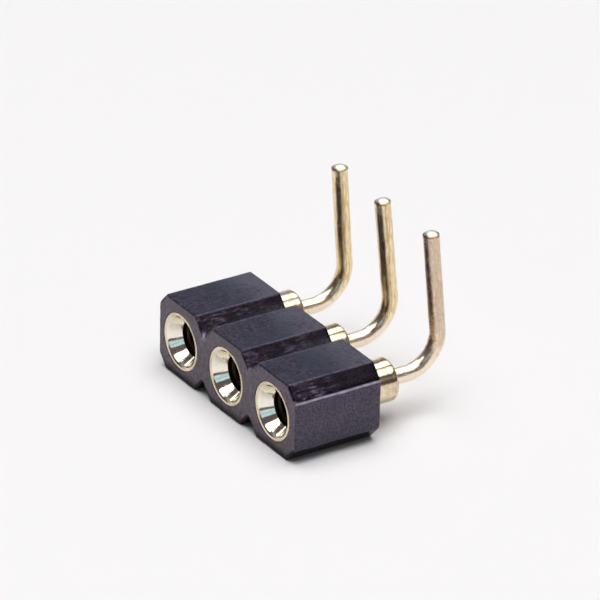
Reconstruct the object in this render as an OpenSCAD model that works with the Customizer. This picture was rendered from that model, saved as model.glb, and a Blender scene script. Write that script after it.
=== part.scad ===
// Right-angle female pin header: a row of turned sleeve contacts in a moulded strip.
// Frame: X along the row, Y from the mating face to the tails, Z up, origin at the
// centre of the housing's underside. All lengths are in millimetres.

/* [Row] */
// Number of contacts in the row
positions = 3; // [1:1:12]
// Distance between neighbouring contact axes
pitch = 2.54; // [2.45:0.01:2.8]

/* [Housing] */
// Height of the moulded body
body_h = 2.5; // [2.4:0.05:3]
// Depth of the body from its mating face to its rear face
body_depth = 3.0; // [2.6:0.05:4]
// Width of a snap notch where it opens at the top or bottom face
notch_w = 0.92; // [0.6:0.02:1.1]
// Depth of a snap notch
notch_depth = 0.49; // [0.3:0.01:0.55]
// Radius along the moulded long edges beside the notches
long_edge_r = 0.1; // [0.08:0.01:0.14]
// Radius round the mating and rear faces
face_edge_r = 0.06; // [0.03:0.01:0.07]
// How far the left end is cut inside its snap line
trim_left = 0.08; // [0.01:0.01:0.12]
// How far the right end is cut inside its snap line
trim_right = 0.01; // [0.01:0.01:0.12]
// Height of the contact axes above the underside
axis_h = 1.25; // [1.15:0.01:1.35]
// Radial gap between a sleeve and its bore
press_gap = 0.01; // [0.005:0.005:0.02]

/* [Sleeve] */
// Diameter of the sleeve's head
head_d = 1.83; // [1.7:0.01:1.9]
// Length of the head, which is the depth of its counterbore
head_len = 0.9; // [0.7:0.05:1.5]
// Diameter of the sleeve behind its head
shank_d = 1.35; // [1.3:0.01:1.5]
// Length of shank that stands out of the rear face
shank_proud = 1.09; // [0.8:0.01:1.5]
// Radius round the far end of the shank
shank_end_r = 0.12; // [0.05:0.01:0.2]
// Width of the flat ring round the funnel's mouth
rim_w = 0.1; // [0.04:0.01:0.12]
// Depth of the funnel that leads a pin in
funnel_depth = 0.44; // [0.3:0.01:0.5]
// Diameter of the throat behind the funnel
throat_d = 1.16; // [1.16:0.01:1.3]
// Depth of the step that the clip's flange seats on
seat_depth = 0.62; // [0.6:0.01:0.68]
// Diameter of the bore that holds the clip
clip_bore_d = 1.06; // [1:0.01:1.1]
// Solid metal between the drill point and the tail
end_wall = 0.3; // [0.2:0.01:0.5]
// Full angle of the drill point
drill_angle = 118; // [90:1:140]

/* [Tail] */
// Diameter of the solder tail
tail_d = 0.5; // [0.4:0.01:0.6]
// Radius where the tail leaves the shank
tail_root_r = 0.05; // [0.02:0.01:0.1]
// Distance from the rear face to the upright, at the height of the contact axis
tail_reach = 2.94; // [2.6:0.01:4]
// Length of the upright, from the height of the contact axis to its end
tail_h = 4.55; // [3:0.05:8]
// Radius of the bend, at the middle of the wire
bend_r = 1.1; // [0.6:0.05:1.3]
// How much the wire's radius is drawn down in the bend
bend_thinning = 0.004; // [0.002:0.001:0.01]
// How far each upright leans towards the housing, in degrees
tail_lean = [4.9, 6.6, 6.2]; // [0:0.1:10]
// Chamfer round the cut end of the tail
tail_chamfer = 0.05; // [0.01:0.01:0.08]

/* [Clip] */
// Thickness of the clip's sheet
clip_t = 0.07; // [0.05:0.01:0.09]
// Radial gap between the clip and the sleeve
clip_gap = 0.01; // [0.005:0.005:0.02]
// Length of the clip's closed barrel, behind its flange
barrel_len = 0.5; // [0.3:0.05:0.8]
// Length of a finger from the barrel to its grip
finger_len = 1.3; // [0.9:0.05:1.5]
// Length of the grip
grip_len = 0.3; // [0.2:0.05:0.4]
// Diameter between the grips with no pin in
grip_d = 0.38; // [0.34:0.01:0.4]
// Length of the flared tip behind the grip
tip_len = 0.12; // [0.05:0.01:0.2]
// How far the tip flares out
tip_flare = 0.06; // [0.02:0.01:0.1]
// Number of fingers
fingers = 4; // [3:1:6]
// Width of the slot between two fingers
slot_w = 0.12; // [0.08:0.01:0.15]

/* [Hidden] */
$fn = 64;
ARC_STEPS = 3; // flat steps in each small rounding
PAST = 0.1; // how far a cut runs past the face that it opens
LAP = 0.02; // how far two stretches that become one piece run into each other
SKIN = 0.002; // how far a bar's sides stand off the section, so that no two planes coincide

front = -body_depth / 2;
sleeve_len = body_depth + shank_proud;
head_r = head_d / 2;
shank_r = shank_d / 2;
throat_r = throat_d / 2;
clip_bore_r = clip_bore_d / 2;
tail_r = tail_d / 2;
drill_point = clip_bore_r / tan(drill_angle / 2);
clip_bore_depth = sleeve_len - end_wall - drill_point;

// Place of a contact's axis along the row, from the left
function contact_x(i) = (i - (positions + 1) / 2) * pitch;

// Lean of a contact's upright; a longer row repeats the list
function lean(i) = tail_lean[(i - 1) % len(tail_lean)];

function unit(v) = v / norm(v);
function turned(v, a) = [v.x * cos(a) - v.y * sin(a), v.x * sin(a) + v.y * cos(a)];

// Angles through a quarter turn, for small roundings
quarter = [for (k = [0:ARC_STEPS]) 90 * k / ARC_STEPS];

// A convex corner p between its neighbours a and b, rounded to radius r in flat steps
function round_corner(a, p, b, r) =
    let (
        u = unit(a - p),
        v = unit(b - p),
        half = acos(u * v) / 2,
        centre = p + unit(u + v) * r / sin(half),
        start = p + u * r / tan(half) - centre
    )
    [for (k = [0:ARC_STEPS]) centre + turned(start, (180 - 2 * half) * k / ARC_STEPS)];

// The outline through [x, z, radius] corners, where a corner of no radius stays sharp
function rounded(corners) = [
    for (i = [0:len(corners) - 1])
        let (
            c = corners[i],
            before = corners[(i + len(corners) - 1) % len(corners)],
            after = corners[(i + 1) % len(corners)],
            p = [c.x, c.y]
        )
        each c.z == 0 ? [p] : round_corner([before.x, before.y], p, [after.x, after.y], c.z)
];

// How far a segment's side lies inside its snap line: nothing, but at the two cut ends
function trim_before(i) = i == 1 ? trim_left : 0;
function trim_after(i) = i == positions ? trim_right : 0;

// Height at which a notch's slope meets a side that lies inside the snap line
function slope_end(trim) = notch_depth * (1 - trim / (notch_w / 2));

// Section of one segment: flat below and above, with half a snap notch at each corner. At
// its snap lines the web runs a little into the next segment.
module segment_section(i) {
    left = -pitch / 2 + trim_before(i);
    right = pitch / 2 - trim_after(i);
    land = (pitch - notch_w) / 2;
    low_left = slope_end(trim_before(i));
    low_right = slope_end(trim_after(i));
    web_left = [for (z = [body_h - low_left, low_left]) if (i > 1) [left - LAP, z, 0]];
    web_right = [for (z = [low_right, body_h - low_right]) if (i < positions) [right + LAP, z, 0]];
    polygon(rounded(concat(
        [[left, low_left, 0], [-land, 0, long_edge_r], [land, 0, long_edge_r], [right, low_right, 0]],
        web_right,
        [[right, body_h - low_right, 0], [land, body_h, long_edge_r]],
        [[-land, body_h, long_edge_r], [left, body_h - low_left, 0]],
        web_left
    )));
}

// A bar as deep as the body, along two parallel sides of a segment. Its edges at the mating
// and rear faces are rounded, and turn is the angle of its sides from level.
module bar(thickness, turn) {
    y = body_depth / 2;
    z = thickness / 2 + SKIN;
    r = face_edge_r;
    translate([0, 0, body_h / 2])
        rotate([0, turn, 0])
            rotate([90, 0, 90])
                linear_extrude(height = 2 * pitch, center = true)
                    polygon(rounded([[-y, -z, r], [y, -z, r], [y, z, r], [-y, z, r]]));
}

// One moulded segment: its section run through the depth, met by the bar of each pair of
// sides, so that every moulded edge of its mating and rear faces is rounded
module segment(i) {
    slope = [notch_w / 2, notch_depth];
    turn = atan2(slope.y, slope.x);
    across = (slope.y * pitch + slope.x * (body_h - 2 * notch_depth)) / norm(slope);
    translate([contact_x(i), 0, 0])
        intersection() {
            rotate([90, 0, 0])
                linear_extrude(height = body_depth + 2 * PAST, center = true)
                    segment_section(i);
            bar(body_h, 0);
            bar(across, turn);
            bar(across, -turn);
        }
}

// Children drawn along +Z from 0 are laid along +Y from the mating face on a contact's axis
module on_contact_axis(i) {
    translate([contact_x(i), front, axis_h])
        rotate([-90, 0, 0])
            children();
}

module housing() {
    color([0.16, 0.16, 0.18])
        difference() {
            union()
                for (i = [1:positions])
                    segment(i);
            for (i = [1:positions])
                on_contact_axis(i) {
                    translate([0, 0, -PAST])
                        cylinder(r = head_r + press_gap, h = head_len + PAST);
                    cylinder(r = shank_r + press_gap, h = body_depth + PAST);
                }
        }
}

// The turned sleeve, with its funnel, clip bore, head, shank and the root of its tail
module sleeve() {
    far_arc = [for (a = quarter) [
        shank_r - shank_end_r * (1 - cos(a)),
        sleeve_len - shank_end_r * (1 - sin(a))
    ]];
    root_arc = [for (a = quarter) [
        tail_r + tail_root_r * (1 - sin(a)),
        sleeve_len + tail_root_r * (1 - cos(a))
    ]];
    rotate_extrude()
        polygon(concat(
            [[head_r - rim_w, 0], [head_r, 0], [head_r, head_len], [shank_r, head_len]],
            far_arc,
            root_arc,
            [[0, sleeve_len + tail_root_r]],
            [[0, clip_bore_depth + drill_point], [clip_bore_r, clip_bore_depth]],
            [[clip_bore_r, seat_depth], [throat_r, seat_depth], [throat_r, funnel_depth]]
        ));
}

// The wire of the tail: a run behind the sleeve, the bend, and the leaning upright
module tail(i) {
    turn = 90 + lean(i);
    tangent = bend_r * tan(turn / 2);
    corner = body_depth + tail_reach;
    run_start = sleeve_len + tail_root_r;
    translate([contact_x(i), front, axis_h]) {
        translate([0, run_start, 0])
            rotate([-90, 0, 0])
                cylinder(r = tail_r, h = corner - tangent - run_start + LAP);
        translate([0, corner - tangent, bend_r])
            rotate([90, 0, 90])
                rotate([0, 0, -90])
                    rotate_extrude(angle = turn)
                        translate([bend_r, 0])
                            circle(r = tail_r - bend_thinning);
        translate([0, corner, 0])
            rotate([lean(i), 0, 0])
                translate([0, 0, tangent - LAP])
                    upright(tail_h - tangent + LAP);
    }
}

// The straight upright, with a chamfer round its cut end
module upright(length) {
    rotate_extrude()
        polygon([
            [0, 0], [tail_r, 0], [tail_r, length - tail_chamfer],
            [tail_r - tail_chamfer, length], [0, length]
        ]);
}

module contact(i) {
    color([0.83, 0.72, 0.5]) {
        on_contact_axis(i)
            sleeve();
        tail(i);
    }
}

// The stamped spring: a flanged barrel whose fingers close to the grip and flare at the tip
module clip(i) {
    barrel_r = clip_bore_r - clip_gap;
    grip_r = grip_d / 2;
    barrel_end = seat_depth + barrel_len;
    grip_start = barrel_end + finger_len;
    grip_end = grip_start + grip_len;
    tip = grip_end + tip_len;
    color([0.72, 0.6, 0.36])
        on_contact_axis(i)
            difference() {
                rotate_extrude()
                    polygon([
                        [barrel_r - clip_t, seat_depth - clip_t],
                        [throat_r - clip_gap, seat_depth - clip_t],
                        [throat_r - clip_gap, seat_depth],
                        [barrel_r, seat_depth],
                        [barrel_r, barrel_end],
                        [grip_r + clip_t, grip_start],
                        [grip_r + clip_t, grip_end],
                        [grip_r + clip_t + tip_flare, tip],
                        [grip_r + tip_flare, tip],
                        [grip_r, grip_end],
                        [grip_r, grip_start],
                        [barrel_r - clip_t, barrel_end]
                    ]);
                for (k = [1:fingers])
                    rotate([0, 0, 360 * (k - 0.5) / fingers])
                        translate([0, -slot_w / 2, barrel_end])
                            cube([clip_bore_r, slot_w, tip - barrel_end + PAST]);
            }
}

housing();
for (i = [1:positions]) {
    contact(i);
    clip(i);
}
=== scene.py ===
# %% [markdown]
# # A right-angle header with three turned sockets
#
# The real part is a strip of black moulded plastic, three segments long. Each segment holds a
# turned brass sleeve, whose thin tail is bent up through a right angle, and each sleeve holds a
# four-finger spring. The engineering model is loaded first. Its solids could be shown as they are,
# but their edges are perfectly sharp and their faces perfectly true. So each gets a finer skin,
# which keeps its shape and stays in its box.

# %% Load the engineering model
import math

import bpy
import numpy as np
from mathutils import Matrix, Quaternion, Vector


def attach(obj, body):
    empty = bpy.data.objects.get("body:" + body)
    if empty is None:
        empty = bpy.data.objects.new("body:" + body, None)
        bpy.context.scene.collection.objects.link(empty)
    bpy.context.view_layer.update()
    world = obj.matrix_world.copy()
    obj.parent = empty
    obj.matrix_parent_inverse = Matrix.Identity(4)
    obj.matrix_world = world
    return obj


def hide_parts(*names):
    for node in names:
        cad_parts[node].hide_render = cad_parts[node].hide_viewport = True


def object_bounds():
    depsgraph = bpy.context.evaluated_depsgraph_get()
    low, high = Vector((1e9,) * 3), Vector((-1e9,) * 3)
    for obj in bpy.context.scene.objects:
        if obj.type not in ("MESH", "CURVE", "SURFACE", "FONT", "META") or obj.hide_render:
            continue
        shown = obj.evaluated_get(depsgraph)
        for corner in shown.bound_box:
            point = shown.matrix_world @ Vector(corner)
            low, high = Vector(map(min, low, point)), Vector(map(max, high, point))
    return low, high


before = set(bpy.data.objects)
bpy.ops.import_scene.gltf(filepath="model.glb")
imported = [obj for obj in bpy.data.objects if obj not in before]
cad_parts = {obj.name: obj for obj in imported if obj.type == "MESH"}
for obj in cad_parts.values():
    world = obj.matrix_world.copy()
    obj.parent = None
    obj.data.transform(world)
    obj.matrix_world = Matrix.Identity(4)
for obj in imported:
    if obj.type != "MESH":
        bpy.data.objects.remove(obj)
cad_low, cad_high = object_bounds()
MM = 0.001
print("solids:", sorted(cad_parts))
print("box in mm:", [round((b - a) / MM, 3) for a, b in zip(cad_low, cad_high)])

# %% [markdown]
# ## The sizes that the pieces share
#
# The engineering source can't be read from here, so its sizes are written again, in millimetres.
# X runs along the row, Y from the mating face to the tails, and Z is up. Numbers typed into each
# shape would soon disagree, so each size has one name.

# %% Sizes in millimetres
POSITIONS, PITCH = 3, 2.54
BODY_H, BODY_DEPTH, AXIS_H = 2.5, 3.0, 1.25
HEAD_R, HEAD_LEN, SHANK_R = 0.915, 0.9, 0.675
FRONT, BACK = -BODY_DEPTH / 2, BODY_DEPTH / 2
contact_x = (np.arange(POSITIONS) - (POSITIONS - 1) / 2) * PITCH
print("contact axes at x =", contact_x)

# %% [markdown]
# ## Surfaces as grids
#
# Every piece is a grid of points, worked out in one go as a numpy array: rows follow a path and
# columns go round it. Joining ready-made shapes would need a repair at every joint, but a grid is
# closed from the start, and its faces all turn the same way.

# %% Grids and welding
def grid_faces(rows, columns, wrap_rows=False):
    """Faces of a grid, as an array of four point numbers for each cell.

    The face at row r and column c joins the points (r, c), (r+1, c), (r+1, c+1) and (r, c+1),
    so it faces towards the path's direction crossed with the direction round it. The last
    column is joined to the first, and the last row too if the rows wrap.
    """
    r = np.arange(rows if wrap_rows else rows - 1)[:, None]
    c = np.arange(columns)[None, :]
    r2, c2 = (r + 1) % rows, (c + 1) % columns
    cells = [r * columns + c, r2 * columns + c, r2 * columns + c2, r * columns + c2]
    return np.stack(np.broadcast_arrays(*cells), axis=-1)


def weld(points, faces, step=1e-5):
    """Joins points that coincide. Returns them, the faces to match, and the points kept."""
    keys = np.round(points / step).astype(np.int64)
    _, kept, number = np.unique(keys, axis=0, return_index=True, return_inverse=True)
    return points[kept], number.reshape(-1)[faces], kept


print("a tube of 3 rings of 8 points has", len(grid_faces(3, 8).reshape(-1, 4)), "faces")

# %% [markdown]
# ## Gentle unevenness
#
# No moulded or turned surface is perfectly true, and a highlight without a flaw gives a
# computer model away. Blender's Displace modifier could dent a mesh. A sum of plane waves does
# the same in a few lines of numpy, and it gives the same dents on every run.

# %% Gentle unevenness
WAVES = 24


def ripple(points, wavelength, seed):
    """A smooth unevenness at each point, mostly between -1 and 1.

    It is the sum of plane waves with random directions and phases, and wavelengths within
    about a third of the one given, over 1.6 times the square root of half their number.
    """
    draw = np.random.default_rng(seed)
    direction = draw.normal(size=(WAVES, 3))
    direction /= np.linalg.norm(direction, axis=1, keepdims=True)
    length = wavelength * draw.uniform(0.7, 1.35, WAVES)
    phase = draw.uniform(0, 2 * np.pi, WAVES)
    angle = points @ (direction * (2 * np.pi / length[:, None])).T + phase
    return np.sin(angle).sum(axis=-1) / math.sqrt(WAVES / 2) / 1.6


print("unevenness:", ripple(np.eye(3), 1.0, 0).round(2))

# %% [markdown]
# ## From points to pieces
#
# Smooth shading hides a mesh's small facets, but it would smear light round true corners, so edges
# that turn by more than a given angle are marked sharp. Each piece rides on the part's one body
# and stands for one solid of the model. Numbers stored on its points, called attributes, tell its
# material where one finish ends. Material slots could too, but they change from face to face, and
# an attribute can fade.

# %% Pieces and attributes
def new_object(name, points, faces, material):
    """Makes an object of one material from points in metres."""
    mesh = bpy.data.meshes.new(name)
    mesh.from_pydata(points.tolist(), [], [list(f) for f in faces])
    mesh.materials.append(material)
    thing = bpy.data.objects.new(name, mesh)
    bpy.context.scene.collection.objects.link(thing)
    return thing


def new_piece(name, points, faces, node, finish, sharp_degrees):
    """Makes an object from points in millimetres, which stands for a solid of the model."""
    piece = new_object(name, points * MM, faces, finish)
    mesh = piece.data
    mesh.update()
    mesh.shade_smooth()
    mesh.set_sharp_from_angle(angle=math.radians(sharp_degrees))
    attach(piece, "root")
    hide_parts(node)
    print(name, len(mesh.vertices), "points", len(mesh.polygons), "faces")
    return piece


def set_attribute(piece, name, values, kind="FLOAT"):
    """Stores one number or vector for each point of a piece."""
    attribute = piece.data.attributes.new(name, kind, "POINT")
    field = "value" if kind == "FLOAT" else "vector"
    attribute.data.foreach_set(field, np.asarray(values, np.float32).ravel())


# %% [markdown]
# ## Building materials from nodes
#
# A material is a small graph of nodes. It could be wired by hand, but as code it can be read and
# made again. Each helper adds one common node: a number or a colour sets a socket, and another
# node's output is linked to it. Colours are three numbers of linear light, so a mid grey is about
# 0.2, not 0.5.

# %% Helpers for materials
class Nodes:
    """A node tree being built. Each method adds a node and returns what comes out of it."""

    def __init__(self, tree):
        self.tree = tree
        tree.nodes.clear()

    def fill(self, socket, value):
        """Links a socket to another node's output, or sets it to a number or a colour."""
        if isinstance(value, bpy.types.NodeSocket):
            self.tree.links.new(value, socket)
        else:
            socket.default_value = (*value, 1) if socket.type == "RGBA" else value

    def add(self, kind, settings=None, **sockets):
        """Adds a node. A socket is named by its label, or by its place after a low line."""
        node = self.tree.nodes.new("ShaderNode" + kind)
        for name, value in (settings or {}).items():
            setattr(node, name, value)
        for name, value in sockets.items():
            key = int(name[1:]) if name[0] == "_" else name.replace("_", " ")
            self.fill(node.inputs[key], value)
        return node

    def place(self):
        """The point on the object, in metres."""
        return self.add("TexCoord").outputs["Object"]

    def axes(self, vector):
        """The three numbers of a vector."""
        return self.add("SeparateXYZ", Vector=vector).outputs

    def fields(self, *names, output="Fac"):
        """The attributes of these names."""
        return [self.add("Attribute", {"attribute_name": name}).outputs[output]
                for name in names]

    def stretch(self, vector, scale):
        """A vector with each of its numbers multiplied."""
        return self.add("Mapping", Vector=vector, Scale=scale).outputs[0]

    def arithmetic(self, operation, first, others, clamp=False):
        """A product, sum, difference or largest, worked out from left to right."""
        settings = {"operation": operation, "use_clamp": clamp}
        for other in others:
            first = self.add("Math", settings, _0=first, _1=other).outputs[0]
        return first

    def times(self, first, *others):
        return self.arithmetic("MULTIPLY", first, others)

    def plus(self, first, *others, clamp=False):
        return self.arithmetic("ADD", first, others, clamp)

    def minus(self, first, *others):
        return self.arithmetic("SUBTRACT", first, others)

    def larger(self, first, *others):
        return self.arithmetic("MAXIMUM", first, others)

    def noise(self, vector, scale, detail, roughness):
        """Smooth noise from about 0 to 1, with this many bumps in a unit of the vector."""
        return self.add("TexNoise", Vector=vector, Scale=scale, Detail=detail,
                        Roughness=roughness).outputs["Fac"]

    def ramp(self, value, low, high, to_low=0.0, to_high=1.0):
        """A number carried from one range to another, smoothly and without leaving it."""
        return self.add("MapRange", {"interpolation_type": "SMOOTHSTEP"},
                        Value=value, From_Min=low, From_Max=high, To_Min=to_low,
                        To_Max=to_high).outputs["Result"]

    def blend(self, share, first, second):
        """A colour between two colours."""
        return self.add("Mix", {"data_type": "RGBA"}, Factor=share, _6=first,
                        _7=second).outputs[2]

    def bump(self, height, distance):
        """A surface normal tilted by a height, where distance is the height of 1 in metres."""
        return self.add("Bump", Height=height, Distance=distance).outputs["Normal"]

    def show(self, shader, output="OutputMaterial"):
        """Joins a shader to the output."""
        self.add(output, Surface=shader.outputs[0])


def new_material(name):
    """A material with an empty node tree, and the helper that fills it."""
    material = bpy.data.materials.new(name)
    material.use_nodes = True
    return material, Nodes(material.node_tree)


# %% [markdown]
# ## Black moulded plastic: patterns
#
# The body is glass-filled polyester, moulded as one long strip and sawn to length. An image of it
# would blur up close and show a seam at the edges. Noise that reads the place on the object has
# neither fault. Three sizes are mixed: clouds of a millimetre, grain of a tenth, and pits finer
# still. A fourth is stretched from front to back, for the lines that the mould drags. Four
# attributes say which finish or painted light a point has: `notch` in the snap notches, `cut` on
# the sawn ends, `painted_edge_highlight` for the painted highlight along the top edge of each cut
# end and the painted glint at the front of each notch, and `dust_and_sheen` for the dust and its
# painted sheen.

# %% Plastic patterns
plastic, n = new_material("black_glass_filled_plastic")
place = n.place()
across, depth, tall = n.axes(place)
notch, cut, painted_edge_highlight, dust_and_sheen = n.fields("notch", "cut", "painted_edge_highlight", "dust_and_sheen")
cloud = n.noise(place, 1100, 3, 0.55)
pits = n.noise(place, 15000, 3, 0.7)
grain = n.noise(place, 9000, 3, 0.7)
drag = n.noise(n.stretch(place, (1.0, 0.2, 1.0)), 12000, 3, 0.6)
inner = n.ramp(across, 0.0026, 0.003, 0.001, 0.0)
near_front = n.ramp(n.minus(depth, inner), -0.0013, 0.0004, 1.0, 0.04)
worn = n.ramp(n.noise(place, 2400, 3, 0.6), 0.4, 0.58, 0.15, 1.1)
handled_side = n.ramp(across, 0.0005, 0.003, 0.62, 1.15)
scuff = n.times(near_front, notch, n.ramp(drag, 0.42, 0.68), worn, handled_side)
print("plastic patterns:", len(plastic.node_tree.nodes), "nodes")

# %% [markdown]
# ## Black moulded plastic: colours
#
# Black plastic isn't one black. The moulded faces are a warm black, with a pale grain where the
# glass shows. The notches are painted darker, as painted shade, with scuffs towards the front, and
# the sawn ends are greyer. Pale bluish dust lies over the tops, paler and thicker towards the
# back, and also paints their sheen. The painted highlight on each cut end's top edge and the
# painted glint at each notch's front are nearly grey. Painted shade makes the foot, the lower
# notches and the bottom of the cut ends blackest. Each colour is laid over the last through its
# own mask.

# %% Plastic colours
moulded = n.blend(n.ramp(grain, 0.4, 0.62), (0.004, 0.0024, 0.005), (0.064, 0.0405, 0.071))
# Painted shade: the notches get a much darker copy of the moulded colour.
slope = n.blend(n.ramp(pits, 0.42, 0.62), (0.0016, 0.0007, 0.0028), (0.0075, 0.0045, 0.0115))
sawn = n.blend(n.ramp(pits, 0.4, 0.62), (0.014, 0.0145, 0.026), (0.06, 0.061, 0.092))
colour = n.blend(cut, n.blend(notch, moulded, slope), sawn)
colour = n.blend(n.times(scuff, 0.85), colour, (0.205, 0.158, 0.232))
# Dust and painted sheen: a pale bluish layer on the tops and the notch bottoms, paler and thicker
# towards the back, which paints the tops' sheen as well as their dust.
haze = n.times(n.ramp(depth, -0.0006, 0.0014, 1.1, 2.3), n.ramp(cloud, 0.3, 0.7, 0.6, 1.3),
               dust_and_sheen, n.ramp(pits, 0.35, 0.65, 0.12, 0.88))
dust_and_sheen_layer = n.blend(n.ramp(depth, -0.0002, 0.0013), (0.01, 0.019, 0.04), (0.074, 0.076, 0.104))
colour = n.blend(haze, colour, dust_and_sheen_layer)
patchy = n.ramp(n.noise(place, 3400, 2, 0.6), 0.25, 0.6, 0.5, 1.0)
# Painted highlight and glint: the pale colour laid on the cut ends' top edges and the notches'
# fronts.
colour = n.blend(n.times(painted_edge_highlight, patchy), colour, (0.46, 0.43, 0.55))
# Painted shade: the lower notch slopes, the foot of the other faces and the low part of the cut
# ends are darkened nearly to black, standing in for the shade near the floor.
painted_low_slope_shade = n.times(notch, n.ramp(tall, 0.0005, 0.00054, 1.0, 0.0))
painted_foot_shade = n.times(n.ramp(tall, 0.00008, 0.00036, 0.95, 0.0), n.minus(1.0, notch))
painted_low_cut_shade = n.times(cut, n.ramp(tall, 0.0003, 0.0013, 0.3, 0.0))
painted_underside_shade = n.larger(n.plus(painted_low_slope_shade, painted_foot_shade, clamp=True), painted_low_cut_shade)
colour = n.blend(n.times(painted_underside_shade, 0.8), colour, (0.001, 0.0006, 0.0014))
print("plastic with its colours:", len(plastic.node_tree.nodes), "nodes")

# %% [markdown]
# ## Black moulded plastic: gloss and bump
#
# Most of what the eye sees on black plastic is its sheen, so the gloss matters as much as the
# colour. The saw leaves the ends rougher than the notches, and the shine is taken away where the
# dust and its painted sheen lie, and where shade is painted at the bottom. The bump's height is a
# hundredth of a millimetre: enough to break up the highlight, and too fine to be worth modelling.

# %% Plastic gloss and bump
dust_and_sheen_top = n.times(dust_and_sheen, n.minus(1.0, notch))
# The painted shade at the bottom also takes away the shine there.
shine = n.minus(0.46, n.times(notch, 0.36), n.times(dust_and_sheen_top, 0.33), n.times(painted_underside_shade, 0.42))
rough = n.minus(n.ramp(cloud, 0.3, 0.7, 0.24, 0.32), n.times(notch, 0.13))
rough = n.plus(rough, n.times(cut, 0.2), n.times(scuff, 0.15))
height = n.plus(n.times(pits, 0.55), n.times(drag, 0.25), n.times(grain, cut, 1.2))
n.show(n.add("BsdfPrincipled", Base_Color=colour, Roughness=rough, IOR=1.6,
             Specular_IOR_Level=n.larger(shine, 0.06), Specular_Tint=(1.0, 0.78, 0.98),
             Normal=n.bump(height, 0.00001)))
print("plastic, finished:", len(plastic.node_tree.nodes), "nodes")

# %% [markdown]
# ## Thin gold over turned brass: patterns
#
# The sleeves and tails carry a flash of gold over nickel, like pale champagne. Turning leaves
# rings round the sleeve, and drawing leaves streaks along the wire. Object coordinates can't
# follow a bend, and a UV map would have a seam. So each point carries a `wrap` vector: the cosine
# and sine of the angle round the wire, and the distance along it in millimetres. Noise read
# through it meets itself all the way round. Seven more attributes say where the finish or the
# painted shade changes: `wire` on the tail, and `run` on its level stretch; `mouth` in the funnel,
# `rim` round it and `deep` in the bore, where shade is painted; `end` on the tail's cut end,
# and `bare` round it, where the brass shows.

# %% Gold patterns
gold, n = new_material("champagne_gold_plate")
place = n.place()
along_row, towards_tails, _ = n.axes(place)
(wrap,) = n.fields("wrap", output="Vector")
wire, run, mouth, rim, deep, end, bare = n.fields("wire", "run", "mouth", "rim", "deep",
                                                  "end", "bare")
turning = n.noise(n.stretch(wrap, (0.15, 0.15, 34.0)), 1.0, 3, 0.6)
drawing = n.noise(n.stretch(wrap, (4.0, 4.0, 2.4)), 1.0, 5, 0.7)
stain = n.ramp(n.noise(place, 1500, 3, 0.6), 0.35, 0.7)
mottle = n.noise(place, 6800, 5, 0.75)
patch = n.ramp(n.noise(place, 420, 2, 0.5), 0.35, 0.65)
specks = n.ramp(n.noise(place, 9000, 3, 0.6), 0.58, 0.7)
handled = n.ramp(along_row, 0.0012, 0.0014, 0.3, 0.97)
print("gold patterns:", len(gold.node_tree.nodes), "nodes")

# %% [markdown]
# ## Thin gold over turned brass: colours
#
# A metal's base colour is the tint that it gives its reflections. The wire is yellower than the
# sleeve, in streaks. The third tail, handled most, is mottled with pink. The shank darkens,
# mottled, towards its back end, the funnel is paler, the rim is dull, and the bore is painted
# nearly black, as painted shade for its depth. Specks of tarnish lie over the rest.

# %% Gold colours
drawn = n.blend(n.ramp(drawing, 0.38, 0.62), (0.64, 0.462, 0.158), (0.99, 0.862, 0.59))
pinkish = n.blend(patch, (0.59, 0.445, 0.38), (0.88, 0.725, 0.61))
drawn = n.blend(n.times(n.ramp(mottle, 0.3, 0.66, 0.4, 1.0), handled), drawn, pinkish)
drawn = n.blend(run, drawn, (0.93, 0.8, 0.64))
turned = n.blend(stain, (0.88, 0.74, 0.53), (0.74, 0.605, 0.46))
# The shank is darkened, mottled, from the back of the housing to its end.
shank_darkening = n.times(n.ramp(towards_tails, 0.0016, 0.0026, 0.15, 1.0),
               n.ramp(mottle, 0.38, 0.6, 0.1, 0.75))
turned = n.blend(shank_darkening, turned, (0.43, 0.33, 0.24))
dull = n.blend(stain, (0.8, 0.69, 0.53), (0.6, 0.48, 0.31))
tint = n.blend(wire, turned, drawn)
# The bore's zone paints the bore nearly black: painted shade for its depth.
for zone, shade in ((mouth, (0.9, 0.845, 0.735)), (rim, dull), (end, (0.93, 0.86, 0.74)),
                    (bare, (0.36, 0.2, 0.1)),
                    (n.times(specks, n.plus(0.2, n.times(wire, 0.35))), (0.46, 0.34, 0.24)),
                    (deep, (0.04, 0.026, 0.014))):
    tint = n.blend(zone, tint, shade)
print("gold with its colours:", len(gold.node_tree.nodes), "nodes")

# %% [markdown]
# ## Thin gold over turned brass: gloss and bump
#
# Polished gold is nearly a mirror, and a roughness of a tenth already softens the edge of each
# reflection. Handling, specks and thin plating make it rougher. The tool marks are a bump of a
# few thousandths of a millimetre: rings on the sleeve, streaks on the wire, and nearly polished
# away in the funnel.

# %% Gold gloss and bump
rough = n.plus(n.ramp(stain, 0.0, 1.0, 0.09, 0.14),
               n.times(wire, handled, n.ramp(mottle, 0.35, 0.65, 0.05, 0.17)))
rough = n.minus(rough, n.times(run, 0.07))
rough = n.plus(rough, n.times(rim, 0.12), n.times(deep, 0.25), n.times(specks, 0.12))
marks = n.plus(n.times(turning, n.minus(1.0, wire)),
               n.times(n.plus(drawing, mottle), n.times(wire, 2.4)),
               n.times(n.noise(place, 7000, 2, 0.5), 0.35))
height = n.times(marks, n.minus(1.0, n.times(mouth, 0.85)))
n.show(n.add("BsdfPrincipled", Base_Color=tint, Roughness=rough, Metallic=1.0,
             Normal=n.bump(height, 0.000003)))
print("gold, finished:", len(gold.node_tree.nodes), "nodes")

# %% [markdown]
# ## The spring's sheet
#
# The spring is stamped from beryllium copper, rolled thin and heat-treated. Its colour is painted
# a nearly black brown, as painted shade for the depth of the sleeve, where it is only ever seen as
# a dark glint. So one stain and one noise, stretched along the fingers like rolling lines, are
# enough.

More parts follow.
